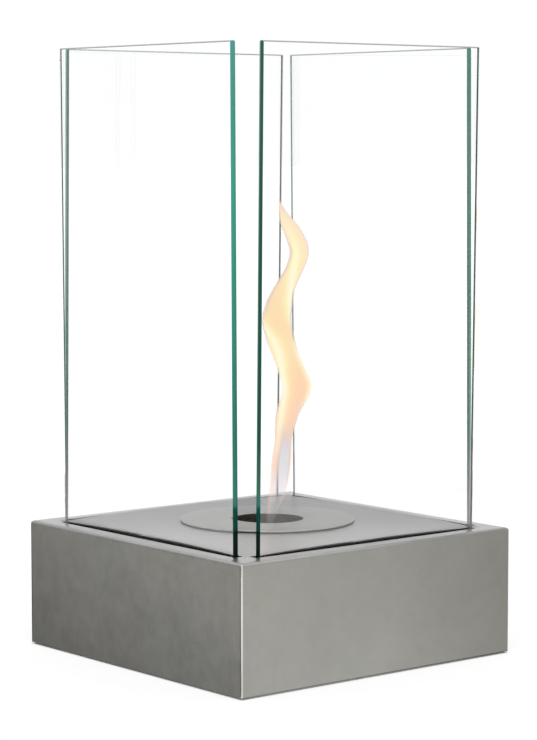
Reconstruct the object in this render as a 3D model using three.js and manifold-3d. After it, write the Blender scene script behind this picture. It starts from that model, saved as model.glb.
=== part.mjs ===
// Bioethanol fireplace: a square steel base, four loose glass panes and a drop-in burner.
// Millimetres, +Z up. The origin is on the floor under the middle of the base.
// +X points to the right pane, -Y to the front pane.

import * as THREE from 'three';
import { mergeVertices } from 'three/addons/utils/BufferGeometryUtils.js';
import Module from 'manifold-3d';

// ---------- Driving dimensions ----------

// Clearance left between two pieces that touch or are welded, glued or stacked
const seatGap = 0.3;

// Base: one folded sheet with a top face and four skirts
const baseSide = 300;
const baseTopHeight = 111; // the top face above the floor
const skirtGap = 1.5; // the skirts stop this far above the floor
const shellSheet = 1.5;
const foldRadius = 3.5; // outer radius of the folds along the top edges
const cornerRadius = 1.3; // outer radius of the upright corners
const seamWidth = 0.6; // open seam where the side skirts meet the front and back skirts
const crownHeight = 3.6; // the top plate inside the slots rises this much towards the burner's hole

// Glass panes
const paneAboveBase = 416;
const paneFootDepth = 24; // the part of a pane below the base's top face
const paneThickness = 5;
const paneArris = 1; // ground edge
const paneLineInset = 18.7; // base's outer face to the pane's middle plane
const paneCornerSetback = 11.3; // pane's end to the middle plane of its neighbour

// Glazing strip on each pane's foot
const gasketSide = 1;
const gasketFloor = 2;
const gasketRecess = 0.8; // top of the strip below the plate's edge beside it

// Slots in the top face, and the play that lets the panes lean and slide a little
const slotPlay = 0.7; // beside the glazing strip, each side
const slotEndPlay = 3; // beyond each end of the pane
const slotCornerRadius = 1.2;

// How far each pane leans in its slot, as a share of the play: positive leans outwards
const leanShare = { front: 0.71, right: -0.62, back: -0.97, left: 0.34 };

// How far each pane has slid along its slot, as a share of the end play: positive to the right,
// seen from outside
const slideShare = { front: 0.45, right: 0.95, back: 0.8, left: -0.1 };

// Channels welded under the slots
const channelSheet = 1;
const channelFlange = 8; // only on the outer side, where the top face is flat
const channelCornerGap = 1.2; // between a channel's end and its neighbour's side

// Drop-in burner
const canRadius = 60;
const canDepth = 55; // from the underside of the rim to the underside of the can
const canSheet = 1.5;
const canFloorRadius = 5; // outer radius between the can's wall and floor
const canRimWidth = 3.5; // the can's rim, under the disc
const canHolePlay = 2; // between the can's rim and the hole in the base
const discLap = 9.5; // how far the disc reaches past the hole in the base
const discThickness = 1.5;
const discChamfer = 0.4;
const flameHoleRadius = 30;
const neckSheet = 1;
const neckLength = 12;
const screenSheet = 1;
const fillPlay = 0.5; // between the can's wall and what lies in it

// Underside
const bottomSheet = 1.2;
const bottomRecess = 4.5; // the bottom plate lies this far above the skirts' lower edge
const bottomPlay = 0.5; // between the bottom plate and the skirts
const bracketSheet = 1.5;
const bracketLeg = 26;
const bracketHeight = 30;
const bracketTab = 22;
const screwShankRadius = 2;
const screwHeadRadius = 4;
const screwHeadHeight = 2.2;
const screwCrownRadius = 2.8; // flat part of the head
const screwLength = 9;
const screwPlay = 0.3; // between the shank and its holes
const screwRecessWidth = 0.9;
const screwRecessDepth = 1.1;
const screwRecessReach = 2; // from the middle to the ends of the cross
const footRadius = 10;
const footEdgeRadius = 1;
const footInset = 34; // foot's middle to the base's outer faces

// Fineness of round shapes
const bigRoundSteps = 72;
const smallRoundSteps = 24;
const foldSteps = 4;
const crownSteps = 8;
const stripSteps = 14;
const cutOver = 1; // how far a cutting tool reaches past the face that it opens
const sharpBend = 0.15; // least inner radius of a bend
const mergeDistance = 1e-4;

// ---------- Sizes that follow ----------

const baseHalf = baseSide / 2;
const shellUnderTop = baseTopHeight - shellSheet;
const seamTop = baseTopHeight - foldRadius;
const paneLine = baseHalf - paneLineInset;
const paneWidth = 2 * (paneLine - paneCornerSetback);
const gasketInnerHalf = paneThickness / 2 + seatGap;
const gasketOuterHalf = gasketInnerHalf + gasketSide;
const slotHalfWidth = gasketOuterHalf + slotPlay;
const slotLength = paneWidth + 2 * slotEndPlay;
const slotInnerEdge = paneLine - slotHalfWidth;
const crownReach = Math.hypot(slotInnerEdge, slotLength / 2); // the crown ends at the slots' ends
const channelInnerHalf = slotHalfWidth;
const channelOuterHalf = channelInnerHalf + channelSheet;
const gasketBottom = baseTopHeight - paneFootDepth - seatGap - gasketFloor;
const canRimRadius = canRadius + canRimWidth;
const burnerHoleRadius = canRimRadius + canHolePlay;
const discRadius = burnerHoleRadius + discLap;
const discBottom = baseTopHeight + crownHeight + seatGap;
const discTop = discBottom + discThickness;
const canRimTop = discBottom - seatGap;
const canRimUnder = canRimTop - canSheet;
const canUnder = canRimUnder - canDepth;
const neckTop = discBottom - seatGap;
const canInnerRadius = canRadius - canSheet;
const screenTop = neckTop - neckLength - seatGap;
const bottomUnder = skirtGap + bottomRecess;
const bottomTop = bottomUnder + bottomSheet;
const bracketBottom = bottomTop + seatGap;
const skirtInner = baseHalf - shellSheet;
const bracketOuter = skirtInner - seatGap;
const screwInset = bracketOuter - bracketTab / 2;

// The four sides and the four corners, each as a turn of the first one
const quarterTurn = Math.PI / 2;
const sides = ['front', 'right', 'back', 'left'].map((name, step) => ({ name, turn: step * quarterTurn }));
const corners = [0, 1, 2, 3].map((step) => ({ number: step + 1, turn: step * quarterTurn }));

// ---------- Materials ----------

const steel = { color: 0xb2b2b0, roughness: 0.38, metalness: 1 };
const finishes = {
  base: new THREE.MeshStandardMaterial({ ...steel, name: 'base' }),
  disc: new THREE.MeshStandardMaterial({ ...steel, name: 'disc', roughness: 0.3 }),
  inner: new THREE.MeshStandardMaterial({ color: 0x8f9092, roughness: 0.5, metalness: 1, name: 'inner' }),
  glass: new THREE.MeshStandardMaterial({
    color: 0x9fd8c4, roughness: 0.03, metalness: 0, transparent: true, opacity: 0.3, name: 'glass',
  }),
  strip: new THREE.MeshStandardMaterial({ color: 0x141615, roughness: 0.7, metalness: 0, name: 'strip' }),
  rubber: new THREE.MeshStandardMaterial({ color: 0x1b1b1b, roughness: 0.85, metalness: 0, name: 'rubber' }),
  wool: new THREE.MeshStandardMaterial({ color: 0xd8d4ca, roughness: 1, metalness: 0, name: 'wool' }),
  screw: new THREE.MeshStandardMaterial({ color: 0x9a9b9d, roughness: 0.35, metalness: 1, name: 'screw' }),
};

// ---------- Joining and cutting closed meshes ----------

const manifold = await Module();
manifold.setup();

function solidFrom(geometry) {
  const plain = new THREE.BufferGeometry();
  plain.setAttribute('position', geometry.getAttribute('position'));
  if (geometry.index) plain.setIndex(geometry.index);
  const merged = mergeVertices(plain, mergeDistance);
  return new manifold.Manifold(new manifold.Mesh({
    numProp: 3,
    vertProperties: new Float32Array(merged.getAttribute('position').array),
    triVerts: new Uint32Array(merged.index.array),
  }));
}

function geometryFrom(solid) {
  const mesh = solid.getMesh();
  const geometry = new THREE.BufferGeometry();
  geometry.setAttribute('position', new THREE.BufferAttribute(new Float32Array(mesh.vertProperties), 3));
  geometry.setIndex(new THREE.BufferAttribute(new Uint32Array(mesh.triVerts), 1));
  const loose = geometry.toNonIndexed();
  loose.computeVertexNormals();
  return loose;
}

function combine(first, { add = [], cut = [], keep = [] }) {
  let solid = solidFrom(first);
  for (const geometry of add) solid = solid.add(solidFrom(geometry));
  for (const geometry of keep) solid = solid.intersect(solidFrom(geometry));
  for (const geometry of cut) solid = solid.subtract(solidFrom(geometry));
  return geometryFrom(solid);
}

// ---------- Basic shapes ----------

// A box given by its lowest and highest corners
function block(low, high) {
  const size = high.map((value, axis) => value - low[axis]);
  const middle = high.map((value, axis) => (value + low[axis]) / 2);
  return new THREE.BoxGeometry(...size).translate(...middle);
}

// A rectangle with rounded corners, centred on the origin
function roundedRectangle(width, height, radius) {
  const halfWidth = width / 2;
  const halfHeight = height / 2;
  const shape = new THREE.Shape();
  shape.moveTo(-halfWidth + radius, -halfHeight);
  shape.lineTo(halfWidth - radius, -halfHeight);
  shape.absarc(halfWidth - radius, -halfHeight + radius, radius, -Math.PI / 2, 0);
  shape.lineTo(halfWidth, halfHeight - radius);
  shape.absarc(halfWidth - radius, halfHeight - radius, radius, 0, Math.PI / 2);
  shape.lineTo(-halfWidth + radius, halfHeight);
  shape.absarc(-halfWidth + radius, halfHeight - radius, radius, Math.PI / 2, Math.PI);
  shape.lineTo(-halfWidth, -halfHeight + radius);
  shape.absarc(-halfWidth + radius, -halfHeight + radius, radius, Math.PI, 1.5 * Math.PI);
  return shape;
}

// An upright prism of a shape in the XY plane
function prism(shape, bottom, top, curveSegments = foldSteps) {
  const settings = { depth: top - bottom, bevelEnabled: false, curveSegments };
  return new THREE.ExtrudeGeometry(shape, settings).translate(0, 0, bottom);
}

// A square block, flat underneath, with folded top edges and rounded upright corners
function foldedBlock(side, bottom, top, edgeRadius, uprightRadius) {
  const inner = side - 2 * edgeRadius;
  const square = new THREE.Shape([[-1, -1], [1, -1], [1, 1], [-1, 1]]
    .map(([x, y]) => new THREE.Vector2(x * inner / 2, y * inner / 2)));
  const settings = {
    depth: top - bottom,
    bevelThickness: edgeRadius,
    bevelSize: edgeRadius,
    bevelSegments: foldSteps,
  };
  const rounded = new THREE.ExtrudeGeometry(square, settings).translate(0, 0, bottom - edgeRadius);
  const upright = prism(roundedRectangle(side, side, uprightRadius), bottom, top + cutOver);
  return combine(rounded, { keep: [upright] });
}

// A turned piece: the profile is a list of [radius, height] points, seen from below outwards.
// A profile that starts on the axis ends on it, and any other closes on itself.
function turned(profile, steps = bigRoundSteps) {
  const points = profile.map(([radius, height]) => new THREE.Vector2(radius, height));
  if (points[0].x > 0) points.push(points[0].clone());
  return new THREE.LatheGeometry(points, steps).rotateX(Math.PI / 2);
}

function disc(radius, bottom, top, steps = bigRoundSteps) {
  return new THREE.CylinderGeometry(radius, radius, top - bottom, steps)
    .rotateX(Math.PI / 2)
    .translate(0, 0, (top + bottom) / 2);
}

// ---------- Base shell ----------

// How far the top plate has risen at a distance from the middle
function crownAt(radius) {
  const span = crownReach ** 2 - burnerHoleRadius ** 2;
  return crownHeight * (crownReach ** 2 - radius ** 2) / span;
}

// A block under the crowned plate's upper or lower face. It ends inside the slots.
function crownedBlock(bottom, level) {
  const dome = [];
  for (let step = 0; step <= crownSteps; step += 1) {
    const radius = crownReach + (burnerHoleRadius - crownReach) * (step / crownSteps);
    dome.push([radius, level + crownAt(radius)]);
  }
  const round = turned([[0, bottom], [crownReach, bottom], ...dome, [0, level + crownHeight]]);
  const reach = slotInnerEdge + cutOver;
  const square = block([-reach, -reach, bottom - cutOver], [reach, reach, level + crownHeight + cutOver]);
  return combine(round, { keep: [square] });
}

function makeBaseShell() {
  const uprightRadius = Math.max(cornerRadius - shellSheet, sharpBend);
  const outer = foldedBlock(baseSide, skirtGap, baseTopHeight, foldRadius, cornerRadius);
  const innerFold = Math.max(foldRadius - shellSheet, sharpBend);
  const hollow = foldedBlock(2 * skirtInner, skirtGap - cutOver, shellUnderTop, innerFold, uprightRadius);
  const crown = crownedBlock(shellUnderTop + shellSheet / 2, baseTopHeight);
  const crownHollow = crownedBlock(shellUnderTop - cutOver, shellUnderTop);
  const toolTop = baseTopHeight + crownHeight + cutOver;
  const slotTool = roundedRectangle(slotLength, 2 * slotHalfWidth, slotCornerRadius);
  const slots = sides.map(({ turn }) => prism(slotTool, shellUnderTop - cutOver, toolTop)
    .translate(0, -paneLine, 0)
    .rotateZ(turn));
  const burnerHole = disc(burnerHoleRadius, shellUnderTop - cutOver, toolTop);
  const seams = [-1, 1].flatMap((x) => [-1, 1].map((y) => block(
    [Math.min(x * baseHalf, x * skirtInner) - cutOver, y * skirtInner - (y > 0 ? seamWidth : 0), 0],
    [Math.max(x * baseHalf, x * skirtInner) + cutOver, y * skirtInner + (y < 0 ? seamWidth : 0), seamTop],
  )));
  return combine(outer, { add: [crown], cut: [hollow, crownHollow, ...slots, burnerHole, ...seams] });
}

// ---------- Glass, its strip and its channel, drawn for the front side ----------

// The pane and its strip are drawn round the line where the pane passes through the top face
function makePane() {
  const inner = roundedRectangle(
    paneWidth - 2 * paneArris,
    paneAboveBase + paneFootDepth - 2 * paneArris,
    paneArris / 2,
  );
  const settings = {
    depth: paneThickness - 2 * paneArris,
    bevelThickness: paneArris,
    bevelSize: paneArris,
    bevelSegments: 1,
    curveSegments: 1,
  };
  return new THREE.ExtrudeGeometry(inner, settings)
    .translate(0, 0, paneArris - paneThickness / 2)
    .rotateX(Math.PI / 2)
    .translate(0, 0, (paneAboveBase - paneFootDepth) / 2);
}

// A U section in the YZ plane, extruded along X
function uSection(innerHalf, outerHalf, top, floorTop, floorBottom, length) {
  const shape = new THREE.Shape([
    new THREE.Vector2(-outerHalf, floorBottom),
    new THREE.Vector2(outerHalf, floorBottom),
    new THREE.Vector2(outerHalf, top),
    new THREE.Vector2(innerHalf, top),
    new THREE.Vector2(innerHalf, floorTop),
    new THREE.Vector2(-innerHalf, floorTop),
    new THREE.Vector2(-innerHalf, top),
    new THREE.Vector2(-outerHalf, top),
  ]);
  return new THREE.ExtrudeGeometry(shape, { depth: length, bevelEnabled: false })
    .translate(0, 0, -length / 2)
    .rotateX(Math.PI / 2)
    .rotateZ(Math.PI / 2);
}

// The strip's inner flank stands higher in the middle, as the crowned plate beside it does
function makeGasket() {
  const floorTop = -paneFootDepth - seatGap;
  const floorBottom = floorTop - gasketFloor;
  const strip = uSection(gasketInnerHalf, gasketOuterHalf, -gasketRecess, floorTop, floorBottom, paneWidth);
  const bow = [];
  for (let step = 0; step <= stripSteps; step += 1) {
    const along = paneWidth * (step / stripSteps - 0.5);
    bow.push(new THREE.Vector2(along, crownAt(Math.hypot(along, slotInnerEdge)) - gasketRecess));
  }
  const flank = new THREE.Shape([
    new THREE.Vector2(paneWidth / 2, floorTop),
    ...bow.reverse(),
    new THREE.Vector2(-paneWidth / 2, floorTop),
  ]);
  const raised = new THREE.ExtrudeGeometry(flank, { depth: gasketSide, bevelEnabled: false })
    .rotateX(Math.PI / 2)
    .translate(0, gasketOuterHalf, 0);
  return combine(strip, { add: [raised] });
}

function makeChannel() {
  const top = shellUnderTop - seatGap;
  const floorTop = gasketBottom - seatGap;
  const length = 2 * (paneLine - channelOuterHalf - channelCornerGap);
  const trough = uSection(channelInnerHalf, channelOuterHalf, top, floorTop, floorTop - channelSheet, length)
    .translate(0, -paneLine, 0);
  const flange = block(
    [-length / 2, -paneLine - channelOuterHalf - channelFlange, top - channelSheet],
    [length / 2, -paneLine - channelInnerHalf, top],
  );
  return combine(trough, { add: [flange] });
}

// ---------- Burner ----------

function makeBurnerCan() {
  const knee = (radius, centreRadius, centreHeight) => {
    const points = [];
    for (let step = 0; step <= foldSteps; step += 1) {
      const angle = (step / foldSteps) * (Math.PI / 2);
      points.push([centreRadius + radius * Math.sin(angle), centreHeight - radius * Math.cos(angle)]);
    }
    return points;
  };
  const kneeCentre = [canRadius - canFloorRadius, canUnder + canFloorRadius];
  const innerKnee = Math.max(canFloorRadius - canSheet, sharpBend);
  const outer = knee(canFloorRadius, ...kneeCentre);
  const inner = knee(innerKnee, canInnerRadius - innerKnee, canUnder + canSheet + innerKnee);
  return turned([
    [0, canUnder],
    ...outer,
    [canRadius, canRimUnder],
    [canRimRadius, canRimUnder],
    [canRimRadius, canRimTop],
    [canInnerRadius, canRimTop],
    ...inner.reverse(),
    [0, canUnder + canSheet],
  ]);
}

function makeBurnerDisc() {
  return turned([
    [flameHoleRadius, discBottom],
    [discRadius, discBottom],
    [discRadius, discTop - discChamfer],
    [discRadius - discChamfer, discTop],
    [flameHoleRadius + discChamfer, discTop],
    [flameHoleRadius, discTop - discChamfer],
  ]);
}

function makeBurnerNeck() {
  return turned([
    [flameHoleRadius, neckTop - neckLength],
    [flameHoleRadius + neckSheet, neckTop - neckLength],
    [flameHoleRadius + neckSheet, neckTop],
    [flameHoleRadius, neckTop],
  ]);
}

function makeWoolScreen() {
  return disc(canInnerRadius - fillPlay, screenTop - screenSheet, screenTop);
}

// The pad's lower edge follows the can's rounded knee
function makeWoolPad() {
  const top = screenTop - screenSheet - seatGap;
  const bottom = canUnder + canSheet + seatGap;
  const radius = canInnerRadius - fillPlay;
  return turned([
    [0, bottom],
    [radius - canFloorRadius, bottom],
    [radius, bottom + canFloorRadius],
    [radius, top],
    [0, top],
  ]);
}

// ---------- Underside ----------

function makeBottomPlate() {
  const side = 2 * (skirtInner - bottomPlay);
  const plate = block([-side / 2, -side / 2, bottomUnder], [side / 2, side / 2, bottomTop]);
  const holes = corners.map(({ turn }) => disc(
    screwShankRadius + screwPlay,
    bottomUnder - cutOver,
    bottomTop + cutOver,
    smallRoundSteps,
  ).translate(screwInset, -screwInset, 0).rotateZ(turn));
  return combine(plate, { cut: holes });
}

// Corner pieces are drawn for the corner between the front and the right side
function makeCornerBracket() {
  const legTop = bracketBottom + bracketHeight;
  const legInner = bracketOuter - bracketSheet;
  const rightLeg = block(
    [legInner, -bracketOuter, bracketBottom],
    [bracketOuter, bracketLeg - bracketOuter, legTop],
  );
  const frontLeg = block(
    [bracketOuter - bracketLeg, -bracketOuter, bracketBottom],
    [bracketOuter, -legInner, legTop],
  );
  const tab = block(
    [bracketOuter - bracketTab, -bracketOuter, bracketBottom],
    [bracketOuter, bracketTab - bracketOuter, bracketBottom + bracketSheet],
  );
  const hole = disc(
    screwShankRadius + screwPlay,
    bracketBottom - cutOver,
    bracketBottom + bracketSheet + cutOver,
    smallRoundSteps,
  ).translate(screwInset, -screwInset, 0);
  return combine(rightLeg, { add: [frontLeg, tab], cut: [hole] });
}

function makeBottomScrew() {
  const headTop = bottomUnder - seatGap;
  const headBottom = headTop - screwHeadHeight;
  const body = turned([
    [0, headBottom],
    [screwCrownRadius, headBottom],
    [screwHeadRadius, headBottom + screwHeadHeight / 2],
    [screwHeadRadius, headTop],
    [screwShankRadius, headTop],
    [screwShankRadius, headTop + screwLength],
    [0, headTop + screwLength],
  ], smallRoundSteps);
  const recessTop = headBottom + screwRecessDepth;
  const half = screwRecessWidth / 2;
  const recess = [
    block([-screwRecessReach, -half, headBottom - cutOver], [screwRecessReach, half, recessTop]),
    block([-half, -screwRecessReach, headBottom - cutOver], [half, screwRecessReach, recessTop]),
  ];
  return combine(body, { cut: recess }).translate(screwInset, -screwInset, 0);
}

function makeFoot() {
  const top = bottomUnder - seatGap;
  const middle = baseHalf - footInset;
  return turned([
    [0, 0],
    [footRadius - footEdgeRadius, 0],
    [footRadius, footEdgeRadius],
    [footRadius, top],
    [0, top],
  ], smallRoundSteps).translate(middle, -middle, 0);
}

// ---------- Assembly ----------

function named(name, geometry, material) {
  const mesh = new THREE.Mesh(geometry, material);
  mesh.name = name;
  return mesh;
}

const fireplace = new THREE.Group();

fireplace.add(named('base_shell', makeBaseShell(), finishes.base));

for (const { name, turn } of sides) {
  const side = new THREE.Group();
  side.rotation.z = turn;
  side.add(named(`glass_channel_${name}`, makeChannel(), finishes.inner));

  // The pane leans about the line where it passes through the top face
  const leaning = new THREE.Group();
  leaning.position.set(slideShare[name] * (slotEndPlay - seatGap), -paneLine, baseTopHeight);
  leaning.rotation.x = Math.atan(leanShare[name] * (slotPlay - seatGap) / paneFootDepth);
  leaning.add(named(`glass_pane_${name}`, makePane(), finishes.glass));
  leaning.add(named(`glass_gasket_${name}`, makeGasket(), finishes.strip));
  side.add(leaning);
  fireplace.add(side);
}

fireplace.add(named('burner_can', makeBurnerCan(), finishes.inner));
fireplace.add(named('burner_disc', makeBurnerDisc(), finishes.disc));
fireplace.add(named('burner_neck', makeBurnerNeck(), finishes.inner));
fireplace.add(named('wool_screen', makeWoolScreen(), finishes.inner));
fireplace.add(named('wool_pad', makeWoolPad(), finishes.wool));

fireplace.add(named('bottom_plate', makeBottomPlate(), finishes.inner));
for (const { number, turn } of corners) {
  const corner = new THREE.Group();
  corner.rotation.z = turn;
  corner.add(named(`corner_bracket_${number}`, makeCornerBracket(), finishes.inner));
  corner.add(named(`bottom_screw_${number}`, makeBottomScrew(), finishes.screw));
  corner.add(named(`foot_${number}`, makeFoot(), finishes.rubber));
  fireplace.add(corner);
}

export default fireplace;
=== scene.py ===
# %% [markdown]
# # A bioethanol fireplace, dressed for its picture
# The object is a square box of satin stainless steel. Four loose panes of clear glass stand in
# slots in its top, a round burner hangs in the middle, and one flame rises out of the burner's
# hole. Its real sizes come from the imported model, which is loaded first and is never moved or
# changed. What this lesson adds is the finish of every piece, smoother round shapes, the flame,
# and the light.

import math

import bmesh
import bpy
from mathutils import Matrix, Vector, noise


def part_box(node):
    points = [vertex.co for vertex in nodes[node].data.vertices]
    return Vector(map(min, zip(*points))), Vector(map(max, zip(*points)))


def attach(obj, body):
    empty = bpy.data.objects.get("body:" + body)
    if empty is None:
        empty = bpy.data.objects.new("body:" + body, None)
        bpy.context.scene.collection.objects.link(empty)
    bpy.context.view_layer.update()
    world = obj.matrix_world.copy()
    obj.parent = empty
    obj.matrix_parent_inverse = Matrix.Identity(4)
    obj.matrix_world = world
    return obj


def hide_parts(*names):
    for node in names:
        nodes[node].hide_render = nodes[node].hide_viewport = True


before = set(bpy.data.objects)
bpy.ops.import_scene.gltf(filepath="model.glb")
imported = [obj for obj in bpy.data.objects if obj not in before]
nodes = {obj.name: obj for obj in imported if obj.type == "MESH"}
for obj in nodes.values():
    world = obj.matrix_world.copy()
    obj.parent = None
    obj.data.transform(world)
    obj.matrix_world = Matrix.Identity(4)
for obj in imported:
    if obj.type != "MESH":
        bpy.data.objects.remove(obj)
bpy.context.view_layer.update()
scene = bpy.context.scene

# %% [markdown]
# ## Sizes
# Blender works in metres, and a maker thinks of this object in millimetres, so small sizes are
# written as 3 * MM. Sizes that the model already has aren't written again: they are read off its
# pieces.

# %% Sizes read off the model
MM = 0.001
X, Y, Z = Vector((1, 0, 0)), Vector((0, 1, 0)), Vector((0, 0, 1))
SIDES = ("front", "right", "back", "left")

base_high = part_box("base_shell")[1]
base_half = base_high.x
base_top = base_high.z


def radii(node, low=-1.0, high=1.0):
    """The least and the greatest distance from the axis, of points between two heights."""
    points = [v.co for v in nodes[node].data.vertices if low <= v.co.z <= high]
    found = [math.hypot(point.x, point.y) for point in points]
    return min(found), max(found)


print("base side", round(2 * base_half / MM, 1), "mm, top at", round(base_top / MM, 1), "mm")

# %% [markdown]
# ## The camera
# The photograph shows the corner between the front and the left side, from a little above the
# base's top and from far away. The place, the bearing and the angle of view were worked out from
# the corners of the base and of the panes. A camera in Blender looks down its own -Z axis, so the
# direction is turned into a rotation.

# %% Camera
CAMERA_PLACE = Vector((-1.39254, -1.69704, 0.44916))
CAMERA_BEARING = 39.39
CAMERA_DIP = math.radians(5.262)
CAMERA_LENS = 122.35


def heading(bearing):
    """The level way of a bearing, in degrees from +Y towards +X, and what lies to its right."""
    turn = math.radians(bearing)
    way = Vector((math.sin(turn), math.cos(turn), 0))
    return way, Vector((way.y, -way.x, 0))


def placed(name, data, looking=None):
    """A new object in the scene, at the origin. A camera or a lamp gets the way it looks."""
    made = bpy.data.objects.new(name, data)
    scene.collection.objects.link(made)
    if looking:
        made.rotation_euler = looking.to_track_quat("-Z", "Y").to_euler()
    return made


ahead, to_right = heading(CAMERA_BEARING)
to_front = -ahead
looking = ahead * math.cos(CAMERA_DIP) - Z * math.sin(CAMERA_DIP)
camera = placed("camera", bpy.data.cameras.new("camera"), looking)
camera.data.lens = CAMERA_LENS
camera.location = CAMERA_PLACE
scene.camera = camera
scene.view_settings.view_transform = "Standard"
print("camera stands", round(CAMERA_PLACE.length, 2), "m from the object's foot")

# %% [markdown]
# ## Nodes written as sums
# Every finish is a small tree of nodes. Placing and linking nodes one by one hides what they say,
# so one class holds a tree and has one method that adds any node. What it gives back understands
# + - * /, and each sign adds its own Math node. Shaders and Geometry Nodes share the class.


# %% A tree of nodes
def math_node(operation, swapped=False):
    """A method that adds one Math node."""
    def method(self, other=0.0):
        first, second = (other, self) if swapped else (self, other)
        return self.owner.node("ShaderNodeMath", {"operation": operation}, {0: first, 1: second})

    return method


class Value:
    """An output of a node, with the signs of arithmetic."""

    __add__ = __radd__ = math_node("ADD")
    __sub__ = math_node("SUBTRACT")
    __rsub__ = math_node("SUBTRACT", swapped=True)
    __mul__ = __rmul__ = math_node("MULTIPLY")
    __truediv__ = math_node("DIVIDE")
    __abs__ = math_node("ABSOLUTE")
    cosine = math_node("COSINE")
    lower_of = math_node("MINIMUM")
    higher_of = math_node("MAXIMUM")

    def __init__(self, owner, socket):
        self.owner = owner
        self.socket = socket

    def step_up(self, start, end):
        """0 below start, 1 above end, and a smooth rise between them."""
        settings = {"interpolation_type": "SMOOTHSTEP"}
        inputs = {"Value": self, "From Min": start, "From Max": end}
        return self.owner.node("ShaderNodeMapRange", settings, inputs)


class Tree:
    """A node tree, with one method that adds any node."""

    def __init__(self, tree):
        self.tree = tree

    def node(self, kind, settings=None, inputs=None, output=0):
        made = self.tree.nodes.new(kind)
        for name, value in (settings or {}).items():
            if name == "stops":
                self.put_stops(made.color_ramp, value)
            else:
                setattr(made, name, value)
        self.fill(made, inputs or {})
        return Value(self, made.outputs[output])

    def part(self, vector, index):
        """X, Y or Z of a vector, by its index."""
        return self.node("ShaderNodeSeparateXYZ", inputs={0: vector}, output=index)

    def fill(self, made, inputs):
        for key, given in inputs.items():
            for value in given if isinstance(given, list) else [given]:
                if isinstance(value, Value):
                    self.tree.links.new(value.socket, made.inputs[key])
                else:
                    made.inputs[key].default_value = value

    def put_stops(self, ramp, stops):
        while len(ramp.elements) < len(stops):
            ramp.elements.new(1.0)
        for element, (place, colour) in zip(ramp.elements, stops):
            element.position = place
            element.color = (*colour, 1.0)


print("a Tree adds nodes, and a Value adds Math nodes")


# %% [markdown]
# ## Finishes in general
# Blender's Principled shader covers all the finishes here. A constant goes straight onto the
# shader's own socket, and only what changes over the surface is linked. Patterns are laid out in
# the piece's own coordinates in metres, so a noise of scale 100 has blobs of about a centimetre
# on every piece.


# %% A finish and its usual ingredients
def screen_colour(red, green, blue):
    """A colour as a screen shows it, 0 to 255, as the plain light values that shaders use."""
    def plain(value):
        share = value / 255
        return share / 12.92 if share < 0.04045 else ((share + 0.055) / 1.055) ** 2.4

    return (plain(red), plain(green), plain(blue), 1.0)


class Finish(Tree):
    """A material with one Principled shader, and the ingredients that the finishes share."""

    def __init__(self, name, plain=None):
        self.material = bpy.data.materials.new(name)
        self.material.use_nodes = True
        super().__init__(self.material.node_tree)
        self.shader = self.tree.nodes["Principled BSDF"]
        self.fill(self.shader, plain or {})

    def place(self):
        return self.node("ShaderNodeTexCoord", output="Object")

    def facing(self):
        """The way the surface faces."""
        return self.node("ShaderNodeTexCoord", output="Normal")

    def axis(self, index):
        return self.part(self.place(), index)

    def outwards(self):
        """How far out a point lies along X or Y, whichever is more."""
        return abs(self.axis(0)).higher_of(abs(self.axis(1)))

    def vectors(self, operation, inputs, output=0):
        return self.node("ShaderNodeVectorMath", {"operation": operation}, inputs, output)

    def along(self, direction):
        """How far a point lies along a direction."""
        return self.vectors("DOT_PRODUCT", {0: self.place(), 1: direction}, 1)

    def stretched(self, x, y, z):
        return self.vectors("MULTIPLY", {0: self.place(), 1: (x, y, z)})

    def shaded(self, colour, shade):
        return self.vectors("SCALE", {0: colour, "Scale": shade})

    def cloud(self, scale, detail=3.0, place=None, roughness=0.5):
        """Soft random blobs around zero, from about -0.5 to 0.5."""
        inputs = {"Scale": scale, "Detail": detail, "Roughness": roughness}
        inputs["Vector"] = place or self.place()
        return self.node("ShaderNodeTexNoise", inputs=inputs) - 0.5

    def blend(self, share, first, second):
        inputs = {0: share, 6: first, 7: second}
        return self.node("ShaderNodeMix", {"data_type": "RGBA"}, inputs, output=2)

    def stored(self, title):
        """A number that the mesh keeps at each of its points."""
        return self.node("ShaderNodeAttribute", {"attribute_name": title}, output="Fac")

    def ray(self, kind):
        """1 for rays of one kind, and 0 for all others."""
        return self.node("ShaderNodeLightPath", output=kind)

    def show(self, share, second, first=None, **more):
        """Shows a second surface by its share, in place of the finish's own shader or of first."""
        first = first or Value(self, self.shader.outputs[0])
        both = self.node("ShaderNodeMixShader", inputs={0: share, 1: first, 2: second})
        self.fill(self.tree.nodes["Material Output"], {"Surface": both, **more})

    def bumps(self, height, distance, strength=1.0):
        inputs = {"Height": height, "Distance": distance, "Strength": strength}
        return self.node("ShaderNodeBump", inputs=inputs)


def paint(finish, *names):
    """Gives model pieces a finish through their own material slots."""
    for name in names:
        for slot in nodes[name].material_slots:
            slot.material = finish.material


print("finishes are laid out in metres")


# %% [markdown]
# ## Satin stainless steel
# The base is sheet steel with a fine satin finish. No single scratch can be seen on it, but the
# tone drifts in soft blotches of one to four centimetres, between a warm and a cool grey, as
# handled satin steel does, and most of all on the left side. Up close a very fine grain runs along
# each face. The top is painted a lighter, cooler grey than the sides, as painted light and shade on
# one steel. The upright corners carry a painted highlight, and are a little smoother than the
# faces.
# Inside the slots the plate is crowned, and a bump of the opposite form keeps its near side from
# darkening. There the plate also mirrors less at a flat angle, a painted shade, which is lifted
# towards the camera as painted light.


# %% Tone, grain and crown
def brushed_tone(finish, coarse, fine):
    """The drift in tone of a satin sheet: wide blotches, small blotches and fine specks."""
    wide = finish.cloud(22.0, 4.0, roughness=0.55)
    small = finish.cloud(110.0, 3.0)
    specks = finish.cloud(600.0, 2.0)
    return wide * coarse + small * (coarse * 0.8) + specks * fine


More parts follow.
